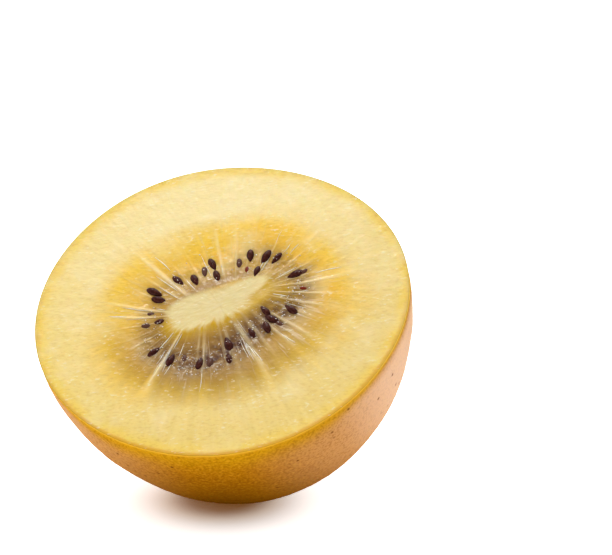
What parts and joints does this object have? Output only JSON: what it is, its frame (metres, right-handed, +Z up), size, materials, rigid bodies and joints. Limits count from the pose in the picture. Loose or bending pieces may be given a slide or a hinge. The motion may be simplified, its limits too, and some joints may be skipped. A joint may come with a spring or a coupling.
{
  "type": "golden kiwi fruit half",
  "caption": "Half of a golden kiwi fruit, cut straight across, resting on its rounded skin with the cut face tipped up to show core, rays and seeds.",
  "frame": {"origin": "centre of the small flat spot that the half rests on", "axes": "+Z up, away from the surface it rests on; the cut face looks up and towards -Y, and the stem end points down and towards +Y"},
  "size_m": [0.0569, 0.0515, 0.0476],
  "materials": {
    "flesh": "wet, translucent golden flesh",
    "core": "moist, opaque cream",
    "skin": "thin, satin, golden brown with fine dark pores",
    "seed": "glossy purple-black",
    "stem_scar": "dry and rough"
  },
  "bodies": {
    "root": {"kiwi_half": "flesh"}
  },
  "joints": []
}
